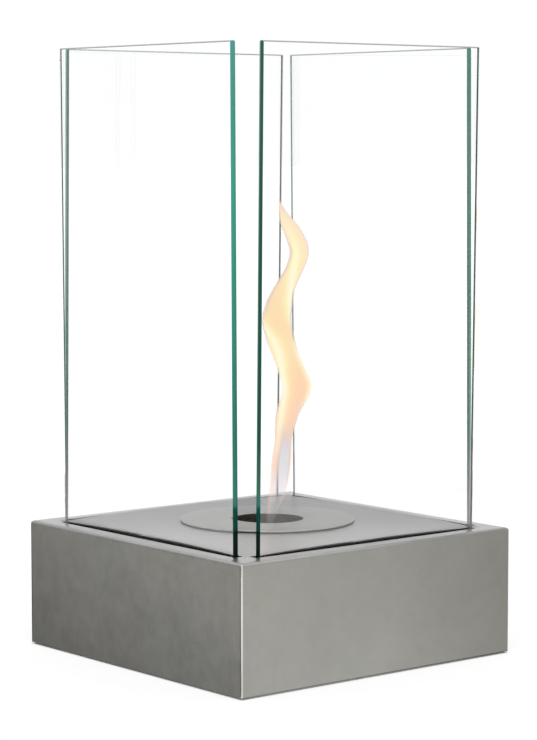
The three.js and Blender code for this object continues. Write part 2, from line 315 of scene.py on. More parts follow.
def long_grain(finish, upward, along=14.0, across=3200.0):
    """Fine lines that run level along the sides and along Y on the top."""
    sides = finish.cloud(1.0, 2.0, finish.stretched(along, along, across))
    top = finish.cloud(1.0, 2.0, finish.stretched(across, along, along))
    return sides + (top - sides) * upward


CROWN_HEIGHT = 3.6 * MM
CROWN_EVENED = 1.8
strip_low, strip_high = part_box("glass_gasket_right")
slot_line = (strip_low.x + strip_high.x) / 2
crown_reach = math.hypot(strip_low.x, strip_high.y)
crown_bend = CROWN_HEIGHT / (crown_reach ** 2 - radii("base_shell", base_top - 0.1 * MM)[0] ** 2)


def evened_crown(finish):
    """A height that takes the dome's slope out of the plate's shading. It ends inside the slots."""
    x, y = finish.axis(0), finish.axis(1)
    inside = 1.0 - finish.outwards().step_up(slot_line - 0.5 * MM, slot_line + 0.5 * MM)
    below = (x * x + y * y - crown_reach ** 2).lower_of(0.0)
    return below * inside * (CROWN_EVENED * crown_bend)


print("the plate rises", round(CROWN_HEIGHT / MM, 1), "mm towards the hole")

# %% Steel finishes
HANDLED = 1.3
GRAIN_DEPTH = 0.012 * MM
# The width of the painted highlight along the upright corners.
HIGHLIGHT_WIDTH = 1.5 * MM
# How the painted shade inside the slots is lifted towards the camera: where it starts, where it is
# full, and by how much.
NEAR_LIFT_FROM, NEAR_LIFT_FULL = -0.05, 0.15
NEAR_LIFT_SHARE = 0.85


def satin_steel(
        name, cool, warm, top, edge, roughness, coarse=0.16, grazing=1.0, dimmed_within=None):
    """Satin sheet steel. Where edge is a colour, its upright corners carry a painted highlight in
    that colour. grazing dims what it mirrors at a flat angle, as a hazed sheet does. Where a radius
    is given as the last argument, that dimming is kept only inside it, as painted shade on the
    plate, and inside it the painted shade fades towards the camera, as painted light."""
    finish = Finish(name, {"Metallic": 1.0, "Specular Tint": (grazing, grazing, grazing, 1)})
    left = (finish.part(finish.facing(), 0) * -1.0).step_up(0.5, 0.9)
    upward = abs(finish.part(finish.facing(), 2)).step_up(0.4, 0.8)
    tone = brushed_tone(finish, coarse, 0.08) * (1.0 + left * HANDLED)
    drift = finish.cloud(9.0, 2.0).step_up(-0.25, 0.25)
    grain = long_grain(finish, upward)
    # The top is painted a lighter, cooler grey than the sides: painted light and shade on one
    # steel.
    colour = finish.blend(upward, finish.blend(drift, cool, warm), top)
    colour = finish.shaded(colour, 1.0 + tone + grain * 0.06)
    rough = roughness + tone * 0.3 + grain * 0.08
    # A painted highlight: the upright corners get the bright edge colour and a little less
    # roughness.
    if edge:
        corner = abs(finish.axis(0)).lower_of(abs(finish.axis(1)))
        corner_highlight = corner.step_up(base_half - HIGHLIGHT_WIDTH, base_half - 0.6 * HIGHLIGHT_WIDTH)
        colour = finish.blend(corner_highlight, colour, edge)
        rough = rough - corner_highlight * 0.08
    height = (grain + tone * 0.4) * GRAIN_DEPTH
    if dimmed_within:
        height = height + evened_crown(finish)
    surface = {"Base Color": colour, "Roughness": rough, "Normal": finish.bumps(height, 1.0)}
    finish.fill(finish.shader, surface)
    # Past the given radius the steel mirrors fully. Inside it, the dimmed reflection is painted
    # shade, lifted towards the camera as painted light.
    if dimmed_within:
        fresh = finish.node("ShaderNodeBsdfPrincipled", inputs={"Metallic": 1.0, **surface})
        painted_near_lift = finish.along(to_front).step_up(NEAR_LIFT_FROM, NEAR_LIFT_FULL) * NEAR_LIFT_SHARE
        beyond = finish.outwards().step_up(dimmed_within, dimmed_within + 2 * MM)
        finish.show(beyond.higher_of(painted_near_lift), fresh)
    return finish


# top is the painted lighter grey of the top, and edge the painted highlight on the upright corners.
base_steel = satin_steel(
    "base_satin_steel", cool=(0.400, 0.397, 0.372, 1), warm=(0.405, 0.394, 0.356, 1),
    top=(0.435, 0.435, 0.432, 1), edge=(0.84, 0.84, 0.805, 1), roughness=0.34, grazing=0.60,
    dimmed_within=slot_line)
disc_steel = satin_steel(
    "disc_satin_steel", cool=(0.425, 0.422, 0.412, 1), warm=(0.430, 0.420, 0.398, 1),
    top=(0.425, 0.423, 0.415, 1), edge=None, roughness=0.30, coarse=0.08, grazing=0.65)
inner_steel = satin_steel(
    "mill_finish_steel", cool=(0.42, 0.42, 0.42, 1), warm=(0.40, 0.40, 0.39, 1),
    top=(0.41, 0.41, 0.405, 1), edge=None, roughness=0.50)
print("steels:", [steel.material.name for steel in (base_steel, disc_steel, inner_steel)])


# %% [markdown]
# ## Heat-tinted burner steel
# The can, its collar and the screen sit round the flame, so their steel has turned brown and
# straw-coloured, with sooty patches. Heat colours follow the temperature, so the tint changes
# with height: the collar's top is hottest. Its near-black brown is partly heat tint and partly
# painted shade of the deep hole that the collar lines.


# %% Burner steel
HEAT_REACH = 35 * MM


def burner_finish():
    finish = Finish("heat_tinted_steel", {"Metallic": 1.0})
    patches = finish.cloud(70.0, 4.0)
    level = finish.axis(2) + patches * (30 * MM)
    heat = level.step_up(base_top - HEAT_REACH, base_top + 2 * MM)
    # The darkest brown is partly heat tint and partly painted shade of the hole.
    plain, straw, brown_and_hole_shade = (0.36, 0.35, 0.33, 1), (0.30, 0.245, 0.175, 1), (0.09, 0.074, 0.063, 1)
    tint = finish.blend(heat.step_up(0.1, 0.6), plain, straw)
    tint = finish.blend(heat.step_up(0.5, 1.0), tint, brown_and_hole_shade)
    soot = finish.cloud(240.0, 3.0).step_up(0.02, 0.22)
    colour = finish.blend(soot * 0.6, tint, (0.05, 0.045, 0.04, 1))
    rough = 0.38 + soot * 0.25 + patches * 0.2
    normal = finish.bumps(patches, 0.05 * MM, 0.5)
    finish.fill(finish.shader, {"Base Color": colour, "Roughness": rough, "Normal": normal})
    return finish


burner_steel = burner_finish()
print("heat tint runs from", round((base_top - HEAT_REACH) / MM), "mm up to the collar")


# %% [markdown]
# ## Clear float glass
# Seen through its faces a pane is clear, with a breath of green. Light that falls in at its end
# travels the whole width of the pane, and comes out deep green. A path tracer would need dozens
# of inner reflections for that, so the pane's ground edge gets its own thin skin further down,
# painted with that green and with the light and shade it shows, and the body is plain refracting
# glass with a little absorption. Lamps shine through a flat pane almost undimmed, which plain
# refraction doesn't give, so shadow rays pass straight through.


# %% Glass and its ground edge
def pane_glass_finish():
    finish = Finish("clear_float_glass", {
        "Base Color": (1, 1, 1, 1), "Transmission Weight": 1.0, "Roughness": 0.0, "IOR": 1.52})
    tint = {"Color": (0.30, 0.74, 0.66, 1), "Density": 1.0}
    depth = finish.node("ShaderNodeVolumeAbsorption", inputs=tint)
    clear = finish.node("ShaderNodeBsdfTransparent", inputs={"Color": (0.95, 0.97, 0.96, 1)})
    finish.show(finish.ray("Is Shadow Ray"), clear, Volume=depth)
    return finish


pane_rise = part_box("glass_pane_front")[1].z - base_top


def by_height(finish, *tones):
    """A colour by the height above the base, from tones of (height in mm, screen colour)."""
    share = (finish.axis(2) - base_top) / pane_rise
    stops = [(height * MM / pane_rise, screen_colour(*colour)[:3]) for height, colour in tones]
    return finish.node("ShaderNodeValToRGB", {"stops": stops}, {0: share})


def ground_end_finish(name, inner, outer, aside_inner, aside_outer):
    """The ground end of a pane, its colour painted by height. Its foot is painted dark, as the
    shade of the slot that it looks into, and its middle shows the green of looking along the whole
    pane, with painted light and shade; its inner and outer halves may differ. At the two corners
    aside, where x and y have opposite signs, its foot carries a painted reflection of the bright
    plate instead. A faint streak runs along it."""
    finish = Finish(name, {"Roughness": 0.9, "Specular IOR Level": 0.05})
    half = finish.stored("outwards").step_up(-0.35, 0.1)
    near, off_corner = [
        finish.blend(half, by_height(finish, *tones[0]), by_height(finish, *tones[1]))
        for tones in ((inner, outer), (aside_inner, aside_outer))]
    aside = (finish.axis(0) * finish.axis(1) * -1.0).step_up(0.0, 0.001)
    streak = finish.cloud(1.0, 2.0, finish.stretched(700.0, 700.0, 12.0))
    colour = finish.shaded(finish.blend(aside, near, off_corner), 1.0 + streak * 0.25)
    finish.fill(finish.shader, {"Base Color": colour})
    return finish


def arris_finish():
    """The ground arris along a pane's top: frosted, and grey against the light."""
    finish = Finish("glass_arris_ground", {"Roughness": 0.35})
    frost = finish.cloud(1500.0, 3.0) + 0.5
    colour = finish.blend(frost, screen_colour(140, 148, 145), screen_colour(162, 168, 166))
    finish.fill(finish.shader, {"Base Color": colour})
    return finish


pane_glass = pane_glass_finish()
# Screen colours of the ground ends by height in mm. FOOT is painted shade: the dark of the slot
# that a pane's foot looks into. The pale feet are a painted reflection of the bright plate. Above
# them the green carries painted light and shade: lighter on the left and right panes, deeper on the
# front and back.
FOOT = [
    (0, (14, 32, 27)), (17, (9, 34, 28)), (19, (14, 64, 56)), (35, (10, 68, 60)),
    (39, (55, 116, 102))]
LIT_END = FOOT + [
    (90, (45, 112, 100)), (170, (51, 128, 110)), (300, (58, 146, 128)), (400, (72, 142, 131))]
SHADED_END = FOOT + [(60, (56, 98, 85)), (90, (30, 75, 61)), (250, (38, 78, 65)), (380, (44, 84, 75))]
PALE_END = FOOT + [
    (60, (80, 120, 107)), (120, (72, 118, 103)), (250, (98, 140, 127)), (380, (128, 158, 150))]
PLATE_REFLECTION_FOOT = [
    (0, (160, 160, 160)), (16, (143, 144, 143)), (40, (112, 120, 117)), (60, (76, 98, 91))]
BRIGHTER_PLATE_REFLECTION_FOOT = [
    (0, (168, 168, 168)), (16, (203, 205, 204)), (40, (186, 194, 191)), (76, (146, 172, 163))]
lit_glass_end = ground_end_finish(
    "glass_end_bright", LIT_END, LIT_END,
    PLATE_REFLECTION_FOOT + [(85, (20, 90, 74)), (130, (0, 92, 72)), (400, (0, 106, 84))],
    BRIGHTER_PLATE_REFLECTION_FOOT + [(140, (104, 146, 131)), (200, (20, 112, 90)), (400, (0, 108, 86))])
shaded_glass_end = ground_end_finish(
    "glass_end_deep", PALE_END, SHADED_END,
    PLATE_REFLECTION_FOOT + [(85, (20, 84, 70)), (130, (0, 88, 72)), (400, (0, 90, 74))],
    BRIGHTER_PLATE_REFLECTION_FOOT + [(140, (116, 156, 143)), (400, (112, 154, 141))])
arris_grey = arris_finish()
paint(pane_glass, *("glass_pane_" + side for side in SIDES))
print("glass on", len(SIDES), "panes")


# %% [markdown]
# ## Silicone, rubber, zinc and wool
# The small hidden pieces get finishes too. The glazing strips are black silicone, the feet are
# black rubber that picks up dust, the screws are zinc-plated with a faint blue and yellow sheen,
# and the wool is off-white ceramic fibre, singed on top.


# %% Small finishes
def dull_black(name, colour, dust, roughness, shine=0.5):
    finish = Finish(name, {"Specular IOR Level": shine})
    specks = finish.cloud(900.0, 3.0)
    dusty = finish.cloud(120.0, 3.0).step_up(-0.05, 0.3)
    finish.fill(finish.shader, {
        "Base Color": finish.blend(dusty * 0.5, colour, dust),
        "Roughness": roughness + specks * 0.3,
        "Normal": finish.bumps(specks, 0.05 * MM, 0.5),
    })
    return finish


def zinc_finish():
    finish = Finish("zinc_plate", {"Metallic": 1.0})
    blush = finish.cloud(260.0, 2.0).step_up(-0.2, 0.2)
    finish.fill(finish.shader, {
        "Base Color": finish.blend(blush, (0.52, 0.55, 0.60, 1), (0.62, 0.58, 0.46, 1)),
        "Roughness": 0.32 + finish.cloud(1500.0, 2.0) * 0.2,
    })
    return finish


def wool_finish(top):
    finish = Finish("ceramic_fibre", {"Roughness": 0.95})
    lumps = finish.cloud(180.0, 4.0)
    strands = finish.cloud(1.0, 3.0, finish.stretched(2500.0, 500.0, 900.0))
    singed = (finish.axis(2) + lumps * (4 * MM)).step_up(top - 4 * MM, top - 0.5 * MM)
    fresh = finish.blend(strands + 0.5, (0.66, 0.64, 0.59, 1), (0.86, 0.84, 0.79, 1))
    finish.fill(finish.shader, {
        "Base Color": finish.blend(singed * 0.8, fresh, (0.16, 0.125, 0.10, 1)),
        "Normal": finish.bumps(strands + lumps, 0.4 * MM, 0.8),
    })
    return finish


silicone = dull_black(
    "black_silicone", (0.002, 0.003, 0.003, 1), (0.008, 0.008, 0.008, 1), 0.95, 0.15)
rubber = dull_black("black_rubber", (0.022, 0.022, 0.022, 1), (0.09, 0.085, 0.08, 1), 0.75)
zinc = zinc_finish()
wool_low, wool_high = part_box("wool_pad")
wool = wool_finish(wool_high.z)
paint(silicone, *("glass_gasket_" + side for side in SIDES))
paint(inner_steel, *("glass_channel_" + side for side in SIDES))
paint(inner_steel, "bottom_plate", *(f"corner_bracket_{number}" for number in range(1, 5)))
paint(zinc, *(f"bottom_screw_{number}" for number in range(1, 5)))
print("finishes in all:", len(bpy.data.materials))


# %% [markdown]
# ## From points to pieces
# Meshes that are written in code all end the same way: the points become an object at the origin,
# its faces get a finish, and edges under a certain angle are shaded smooth.


# %% Helpers that finish a mesh
SMOOTH_UP_TO = math.radians(32)


def as_piece(name, shape, *finishes):
    """Turns a bmesh, or a ready mesh, into an object in the scene."""
    if isinstance(shape, bmesh.types.BMesh):
        mesh = bpy.data.meshes.new(name)
        shape.to_mesh(mesh)
        shape.free()
    else:
        mesh = shape
        mesh.name = name
        mesh.materials.clear()
    for finish in finishes:
        mesh.materials.append(finish.material)
    mesh.shade_smooth()
    mesh.set_sharp_from_angle(angle=SMOOTH_UP_TO)
    return placed(name, mesh)


def merged_copy(node):
    """A copy of a model piece's mesh with its loose triangles joined up."""
    shape = bmesh.new()
    shape.from_mesh(nodes[node].data)
    bmesh.ops.remove_doubles(shape, verts=shape.verts, dist=0.002 * MM)
    return shape


print("edges under", round(math.degrees(SMOOTH_UP_TO)), "degrees are shaded smooth")

# %% [markdown]
# ## The folded base
# The model's base is exact but its folds are four flat strips each, because it is made of loose
# triangles. A joined-up copy can be shaded smoothly over the folds. Weighted normals keep the
# wide flat faces flat, so that only the folds look round.

# %% Steel base
steel_base = as_piece("steel_base", merged_copy("base_shell"), base_steel)
weighted = steel_base.modifiers.new("flat faces stay flat", "WEIGHTED_NORMAL")
weighted.keep_sharp = True
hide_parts("base_shell")
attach(steel_base, "base")
print("steel base:", len(steel_base.data.polygons), "faces")

# %% [markdown]
# ## The ground edges of the panes
# Each pane's three free edges are ground flat, with a small arris along both sides. The skin is
# taken from the pane itself, so it leans exactly as the pane does: the two broad faces and the
# bottom are deleted, and what is left is moved out by a hair. Seen through the glass it stays
# hidden, because light inside the pane is thrown back before it gets there, as on a real pane.

# %% Ground edges
EDGE_LIFT = 0.02 * MM
EDGE_SKIN = 0.03 * MM


def ground_edge(side, end_finish):
    """The skin on one pane's ends and top. It keeps how far outwards each point lies."""
    shape = merged_copy("glass_pane_" + side)
    broad = max(shape.faces, key=lambda face: face.calc_area()).normal.copy()
    low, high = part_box("glass_pane_" + side)
    broad *= math.copysign(1.0, broad.dot(low + high))
    outwards = shape.verts.layers.float.new("outwards")
    across = {point: point.co.dot(broad) for point in shape.verts}
    middle = sum(across.values()) / len(across)
    half = max(across.values()) - middle
    for point, place in across.items():
        point[outwards] = (place - middle) / half
    flat = [face for face in shape.faces if abs(face.normal.dot(broad)) > 0.9]
    flat += [face for face in shape.faces if face.normal.z < -0.4]
    bmesh.ops.delete(shape, geom=flat, context="FACES")
    shape.normal_update()
    for face in shape.faces:
        face.material_index = 1 if face.normal.z > 0.4 and abs(face.normal.dot(broad)) > 0.2 else 0
    outward = {point: point.normal.copy() for point in shape.verts}
    for point, way in outward.items():
        point.co += way * EDGE_LIFT
    piece = as_piece("ground_edge_" + side, shape, end_finish, arris_grey)
    skin = piece.modifiers.new("skin", "SOLIDIFY")
    skin.thickness = EDGE_SKIN
    skin.offset = 1.0
    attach(piece, side + "_glass")
    return piece


# The left and right panes get the painted lit ends, and the front and back the painted shaded ones.
for side, end_finish in zip(SIDES, (shaded_glass_end, lit_glass_end, shaded_glass_end, lit_glass_end)):
    print(ground_edge(side, end_finish).name, "follows its pane")

# %% [markdown]
# ## Turned and swept round pieces
# The cover disc and the collar under it are rings with a plain section, so Geometry Nodes sweep a
# rounded rectangle along a circle. The can and the feet have a longer profile, so that is written
# as points with arcs, and spun in code.


# %% Geometry Nodes recipes
class Recipe(Tree):
    """A Geometry Nodes tree with named inputs, that ends in real, finished geometry."""

    KINDS = {float: "NodeSocketFloat", int: "NodeSocketInt"}

    def __init__(self, name, **inputs):
        super().__init__(bpy.data.node_groups.new(name, "GeometryNodeTree"))
        sockets = self.tree.interface
        sockets.new_socket("Geometry", in_out="INPUT", socket_type="NodeSocketGeometry")
        sockets.new_socket("Geometry", in_out="OUTPUT", socket_type="NodeSocketGeometry")
        self.keys = {}
        for title, kind in inputs.items():
            made = sockets.new_socket(title, in_out="INPUT", socket_type=self.KINDS[kind])
            self.keys[title] = made.identifier
        self.entry = self.tree.nodes.new("NodeGroupInput")

    def given(self, title):
        return Value(self, self.entry.outputs[title])

    def add(self, kind, inputs=None, **settings):
        """One geometry node, called by the last part of its kind."""
        return self.node("GeometryNode" + kind, settings, inputs)

    def along(self, **amounts):
        """A vector with the amounts given for X, Y or Z."""
        return self.node("ShaderNodeCombineXYZ", inputs=amounts)

    def moved(self, geometry, **amounts):
        return self.add("Transform", {"Geometry": geometry, "Translation": self.along(**amounts)})

    def circle(self, steps, radius):
        return self.add("CurvePrimitiveCircle", {"Resolution": steps, "Radius": radius})

    def swept(self, curve, profile, caps=False):
        """A tube or bar along a curve."""
        inputs = {"Curve": curve, "Profile Curve": profile, "Fill Caps": caps}
        return self.add("CurveToMesh", inputs)

    def thick(self, curve, radius, sides):
        return self.swept(curve, self.circle(sides, radius), caps=True)

    def real(self, geometry):
        return self.add("RealizeInstances", {"Geometry": geometry})

    def ends_in(self, geometry, finish):
        inputs = {"Geometry": self.real(geometry), "Material": finish.material}
        inputs = {"Geometry": self.add("SetMaterial", inputs)}
        self.fill(self.tree.nodes.new("NodeGroupOutput"), inputs)

    def grow(self, name, finish, start=None, **values):
        """Runs the tree on a start mesh, or on nothing, and keeps the result as a plain piece."""
        carrier = placed("carrier", start or bpy.data.meshes.new("nothing"))
        modifier = carrier.modifiers.new("recipe", "NODES")
        modifier.node_group = self.tree
        for title, value in values.items():
            modifier[self.keys[title]] = value
        ready = carrier.evaluated_get(bpy.context.evaluated_depsgraph_get())
        mesh = bpy.data.meshes.new_from_object(ready)
        bpy.data.objects.remove(carrier)
        return as_piece(name, mesh, finish)


# %% [markdown]
# A ring's section lies where the circle's own frame puts it: its first side points away from the
# axis and its second side points up.

# %% Cover disc and collar
ring = Recipe(
    "swept_ring", Middle=float, Width=float, Height=float, Edge=float, Lift=float, Steps=int)
section = ring.add("CurvePrimitiveQuadrilateral", {
    "Width": ring.given("Width"), "Height": ring.given("Height")})
inputs = {"Curve": section, "Count": 4, "Radius": ring.given("Edge")}
section = ring.add("FilletCurve", inputs, mode="POLY")
turn = ring.circle(ring.given("Steps"), ring.given("Middle"))
ring.ends_in(ring.moved(ring.swept(turn, section), Z=ring.given("Lift")), disc_steel)


def grow_ring(name, node, finish, edge, steps=256):
    """A ring with the radii and the height of a round model piece."""
    low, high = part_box(node)
    inner, outer = radii(node)
    piece = ring.grow(
        name, finish, Middle=(inner + outer) / 2, Width=outer - inner, Height=high.z - low.z,
        Edge=edge, Lift=(low.z + high.z) / 2, Steps=steps)
    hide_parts(node)
    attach(piece, "burner")
    return piece


cover_disc = grow_ring("cover_disc", "burner_disc", disc_steel, 0.45 * MM)
flame_collar = grow_ring("flame_collar", "burner_neck", burner_steel, 0.2 * MM, 128)
print("disc of", len(cover_disc.data.polygons), "faces")


# %% Spinning a profile
def arc(across, up, radius, start, end, steps=8):
    """Points (radius, height) on an arc round a centre, from one angle to another in degrees."""
    turns = [math.radians(start + (end - start) * step / steps) for step in range(steps + 1)]
    return [(across + radius * math.cos(turn), up + radius * math.sin(turn)) for turn in turns]


def join_rings(shape, rings):
    """Faces between each ring of points and the next. A ring on the axis is one point repeated."""
    for low, high in zip(rings, rings[1:]):
        for step in range(len(low)):
            after = (step + 1) % len(low)
            corners = dict.fromkeys([low[step], low[after], high[after], high[step]])
            shape.faces.new(list(corners))


def turned(name, profile, finish, steps=160, centre=(0.0, 0.0)):
    """A solid of revolution about an upright axis. The profile starts and ends on the axis."""
    shape = bmesh.new()
    rings = []
    for radius, height in profile:
        if radius < 0.001 * MM:
            rings.append([shape.verts.new((*centre, height))] * steps)
            continue
        turns = [2 * math.pi * step / steps for step in range(steps)]
        rings.append([shape.verts.new((
            centre[0] + radius * math.cos(turn), centre[1] + radius * math.sin(turn), height))
            for turn in turns])
    join_rings(shape, rings)
    bmesh.ops.recalc_face_normals(shape, faces=shape.faces)
    return as_piece(name, shape, finish)


print("a quarter arc has", len(arc(0, 0, 1, 0, 90)), "points")

# %% [markdown]
# The fuel can is pressed from one sheet: a flat floor, a rounded knee, an upright wall, and a rim
# that lies on the base. The four feet are plain round rubber pads with softened lower edges.

# %% Fuel can and feet
can_low, can_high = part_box("burner_can")
rim_radius = can_high.x
inner_wall = radii("burner_can", can_high.z - 0.1 * MM)[0]
outer_wall = radii("burner_can", can_low.z, can_high.z - 5 * MM)[1]
sheet = outer_wall - inner_wall
rim_under = can_high.z - sheet
KNEE = 5 * MM
RIM_EDGE = 0.5 * MM

can_profile = [
    (0, can_low.z),
    *arc(outer_wall - KNEE, can_low.z + KNEE, KNEE, -90, 0),
    (outer_wall, rim_under),
    *arc(rim_radius - RIM_EDGE, rim_under + RIM_EDGE, RIM_EDGE, -90, 0, 4),
    *arc(rim_radius - RIM_EDGE, can_high.z - RIM_EDGE, RIM_EDGE, 0, 90, 4),
    *arc(inner_wall + RIM_EDGE, can_high.z - RIM_EDGE, RIM_EDGE, 90, 180, 4),
    *arc(inner_wall - KNEE + sheet, can_low.z + KNEE, KNEE - sheet, 0, -90),
    (0, can_low.z + sheet)]
fuel_can = turned("fuel_can", can_profile, burner_steel)
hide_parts("burner_can")
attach(fuel_can, "burner")

FOOT_EDGE = 1 * MM
FOOT_TOP_EDGE = 0.4 * MM
for number in range(1, 5):
    low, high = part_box(f"foot_{number}")
    reach = (high.x - low.x) / 2
    foot_profile = [
        (0, low.z),
        *arc(reach - FOOT_EDGE, low.z + FOOT_EDGE, FOOT_EDGE, -90, 0, 6),
        *arc(reach - FOOT_TOP_EDGE, high.z - FOOT_TOP_EDGE, FOOT_TOP_EDGE, 0, 90, 4),
        (0, high.z)]
    centre = ((low.x + high.x) / 2, (low.y + high.y) / 2)
    foot = turned(f"rubber_foot_{number}", foot_profile, rubber, 64, centre)
    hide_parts(f"foot_{number}")
    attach(foot, "base")
print("can wall", round(sheet / MM, 2), "mm, rim radius", round(rim_radius / MM, 1), "mm")

# %% [markdown]
# ## The woven screen
# A screen of woven wire lies on the wool, under the hole. Each wire runs over one crossing wire
# and under the next, which is a cosine along its length, and its neighbours are half a wave
# behind. Geometry Nodes lay out straight lines side by side, bend them with that rule, cut them
# off at a circle and give them thickness. A thicker ring of wire binds the cut ends.

# %% Woven screen
screen_low, screen_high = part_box("wool_screen")
WIRE_PITCH = 2.4 * MM
WIRE_RADIUS = 0.24 * MM

weave = Recipe("woven_screen", Reach=float, Pitch=float, Wire=float, Wires=int, Height=float)


def wires(turn):
    """One of the two sets of wires. turn is 1 for the wires along X, and -1 for those along Y."""
    reach, pitch = weave.given("Reach"), weave.given("Pitch")
    first = (weave.given("Wires") - 1.0) * pitch * -0.5
    line = weave.add("MeshLine", {
        "Count": weave.given("Wires"), "Start Location": weave.along(Y=first),
        "Offset": weave.along(Y=pitch)})
    wire = weave.add("CurvePrimitiveLine", {
        "Start": weave.along(X=reach * -1.0), "End": weave.along(X=reach)})
    laid = weave.add("InstanceOnPoints", {"Points": line, "Instance": wire})
    inputs = {"Curve": weave.real(laid), "Length": pitch / 4}
    fine = weave.add("ResampleCurve", inputs, mode="LENGTH")
    place = weave.add("InputPosition")
    x, y = weave.part(place, 0), weave.part(place, 1)
    wave = ((x + y) / pitch * math.pi).cosine() * weave.given("Wire") * turn
    bent = weave.add("SetPosition", {"Geometry": fine, "Offset": weave.along(Z=wave)})
    outside = weave.node("FunctionNodeCompare", inputs={0: x * x + y * y, 1: reach * reach})
    cut = weave.add("DeleteGeometry", {"Geometry": bent, "Selection": outside})
    quarter = (0, 0, 0 if turn == 1 else math.pi / 2)
    return weave.add("Transform", {"Geometry": cut, "Rotation": quarter})


wire_radius = weave.given("Wire")
binding = weave.circle(96, weave.given("Reach") - wire_radius * 2.0)
woven = weave.add("JoinGeometry", {"Geometry": [
    weave.thick(wires(1), wire_radius, 5),
    weave.thick(wires(-1), wire_radius, 5),
    weave.thick(binding, wire_radius * 1.9, 8)]})
weave.ends_in(weave.moved(woven, Z=weave.given("Height")), burner_steel)

screen_reach = screen_high.x
wire_count = 2 * math.floor(screen_reach / WIRE_PITCH) + 1
woven_screen = weave.grow(
    "woven_screen", burner_steel, Reach=screen_reach, Pitch=WIRE_PITCH, Wire=WIRE_RADIUS,
    Wires=wire_count, Height=(screen_low.z + screen_high.z) / 2)
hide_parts("wool_screen")
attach(woven_screen, "burner")
print("screen of", 2 * wire_count, "wires,", len(woven_screen.data.polygons), "faces")

# %% [markdown]
# ## The ceramic wool
# The can is filled with a plug of ceramic wool that soaks up the fuel. Its body is a spun shape
# whose points are pushed about by a noise, and short curved fibres are scattered over its top,
# each turned at random. Both have a fixed seed: without one, the noise would go by the clock.

# %% Wool plug
FIBRE_ZONE = 0.8 * MM
WOOL_LUMPS = 0.5 * MM
LUMP_SIZE = 5 * MM
SHOULDER = 2 * MM
FIBRE_TILT = 0.12
WOOL_SEED = 4
wool_reach = wool_high.x - WOOL_LUMPS
wool_top = wool_high.z - FIBRE_ZONE - WOOL_LUMPS
plug = turned("wool_plug", [
    *((wool_reach * share, wool_low.z + WOOL_LUMPS) for share in (0, 0.3, 0.6, 0.85)),
    *arc(wool_reach - KNEE, wool_low.z + KNEE + WOOL_LUMPS, KNEE, -80, 0),
    *((wool_reach, wool_low.z + (wool_top - wool_low.z) * share) for share in (0.3, 0.5, 0.7)),
    *arc(wool_reach - SHOULDER, wool_top - SHOULDER, SHOULDER, 0, 90),
    *((wool_reach * (tenth / 10), wool_top) for tenth in range(9, -1, -1))], wool, 120)
noise.seed_set(WOOL_SEED)
for point in plug.data.vertices:
    point.co += noise.noise_vector(point.co / LUMP_SIZE) * WOOL_LUMPS * 0.9

fuzz = Recipe("scattered_fibres", Density=float, Length=float, Thickness=float, Seed=int)
start = Value(fuzz, fuzz.entry.outputs["Geometry"])
seed = fuzz.given("Seed")
upright = fuzz.part(fuzz.add("InputNormal"), 2)
on_top = fuzz.node("FunctionNodeCompare", inputs={0: upright, 1: 0.8})
spots = fuzz.add("DistributePointsOnFaces", {
    "Mesh": start, "Selection": on_top, "Density": fuzz.given("Density"), "Seed": seed})
spin = fuzz.node("FunctionNodeRandomValue", {"data_type": "FLOAT_VECTOR"}, {
    0: (-FIBRE_TILT, -FIBRE_TILT, 0.0), 1: (FIBRE_TILT, FIBRE_TILT, 2 * math.pi), "Seed": seed})
fibre = fuzz.add("CurveArc", {
    "Resolution": 6, "Radius": fuzz.given("Length"), "Sweep Angle": math.radians(70)})
laid = fuzz.add("InstanceOnPoints", {"Points": spots, "Instance": fibre, "Rotation": spin})
hairs = fuzz.thick(fuzz.real(laid), fuzz.given("Thickness"), 4)
fuzz.ends_in(fuzz.add("JoinGeometry", {"Geometry": [start, hairs]}), wool)

ceramic_wool = fuzz.grow(
    "ceramic_wool", wool, plug.data, Density=90000.0, Length=2.2 * MM, Thickness=0.09 * MM,
    Seed=WOOL_SEED)
bpy.data.objects.remove(plug)
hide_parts("wool_pad")
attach(ceramic_wool, "burner")
print("wool of", len(ceramic_wool.data.polygons), "faces")

# %% [markdown]
# ## The flame
# Four panes leave four corner gaps, so air is drawn in with a twist and the flame winds up like a
# corkscrew. Its middle line is a helix: seen from the camera it sways from side to side, and the
# same sway a quarter turn later carries it to and fro. The stations below give its middle and its
# width at chosen heights. Round each section two bright bands lie opposite each other and turn
# with the height, as the two sides of a twisted ribbon of burning vapour do. Under the split the
# middle is only a faint lilac veil.

# %% The flame's stations
# Each station: height, sideways place and half width in mm, and the bright bands' turn in degrees.
FLAME = [
    (101, 0.8, 2.2, -14),
    (118, 1.7, 4.4, -16),
    (144, 8.0, 8.1, -22),
    (168, 10.7, 8.7, -34),
    (184, 12.4, 7.6, -45),
    (198, 14.0, 9.1, -54),
    (212, 17.5, 10.9, -48),
    (222, 22.1, 12.4, -32),
    (233, 24.1, 13.1, -26),
    (244, 21.2, 12.9, -32),
    (258, 15.5, 12.0, -54),
    (275, 9.6, 12.6, -55),
    (291, 6.6, 12.8, 0),
    (305, 8.6, 12.0, 30),
    (317, 12.4, 9.9, 45),
    (327, 17.5, 8.9, 70),
    (338, 23.0, 8.4, 98),
    (350, 26.1, 8.5, 112),
    (360, 24.1, 8.8, 112),
    (371, 19.2, 8.0, 112),
    (381, 13.8, 5.9, 115),
    (390, 10.4, 3.6, 118),
    (398, 8.0, 0.6, 122),
]
PANE_SHEEN = 0.10
BAND_SPREAD = 0.57
TWIST_PITCH = 122.0
TWIST_START = 233.0
TWIST_REACH = 9.0
TWIST_EASE = 60.0
END_TAPER = 14.0
FLAME_FOOT, FLAME_TIP = FLAME[0][0], FLAME[-1][0]


